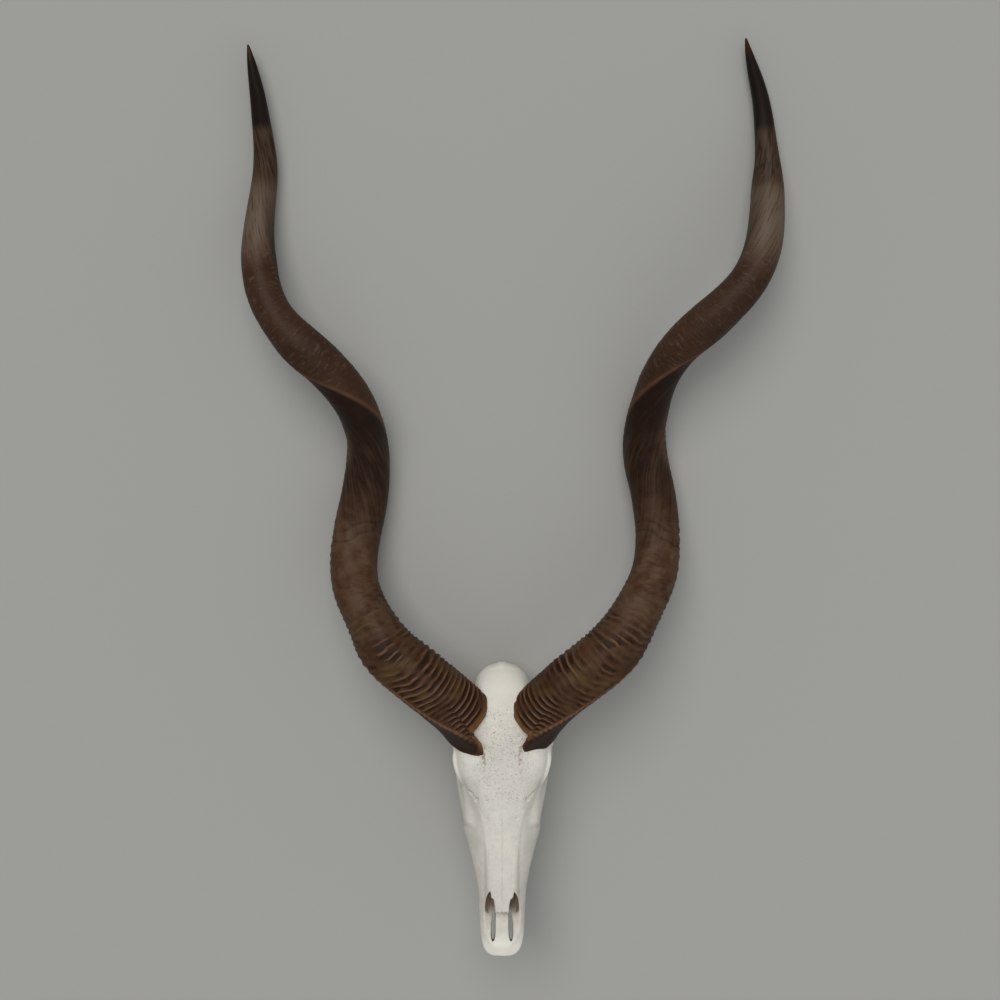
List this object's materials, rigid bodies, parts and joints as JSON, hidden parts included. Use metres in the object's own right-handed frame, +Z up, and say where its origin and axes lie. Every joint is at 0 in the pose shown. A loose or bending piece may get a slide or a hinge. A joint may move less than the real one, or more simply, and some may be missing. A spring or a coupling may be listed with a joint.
{
  "type": "greater kudu skull",
  "caption": "Bleached antelope skull without its lower jaw, with long corkscrew horns, lying down on its underside.",
  "frame": {"origin": "middle of the whole object's outline seen from above, on the surface that it lies on", "axes": "+Y from the nose towards the horn tips, +X across the skull towards the viewer's right horn, +Z up from the surface, the side of the face away from the teeth"},
  "size_m": [0.691, 1.244, 0.1804],
  "materials": {
    "bone": "matt bleached bone",
    "horn": "dark brown horn, ringed and satin at the base, smooth and glossy to the tip",
    "enamel": "cream tooth enamel"
  },
  "bodies": {
    "root": {"skull": "bone", "horn_left": "horn", "horn_right": "horn", "premolar_2_left": "enamel", "premolar_3_left": "enamel", "premolar_4_left": "enamel", "molar_1_left": "enamel", "molar_2_left": "enamel", "molar_3_left": "enamel", "premolar_2_right": "enamel", "premolar_3_right": "enamel", "premolar_4_right": "enamel", "molar_1_right": "enamel", "molar_2_right": "enamel", "molar_3_right": "enamel"}
  },
  "joints": []
}
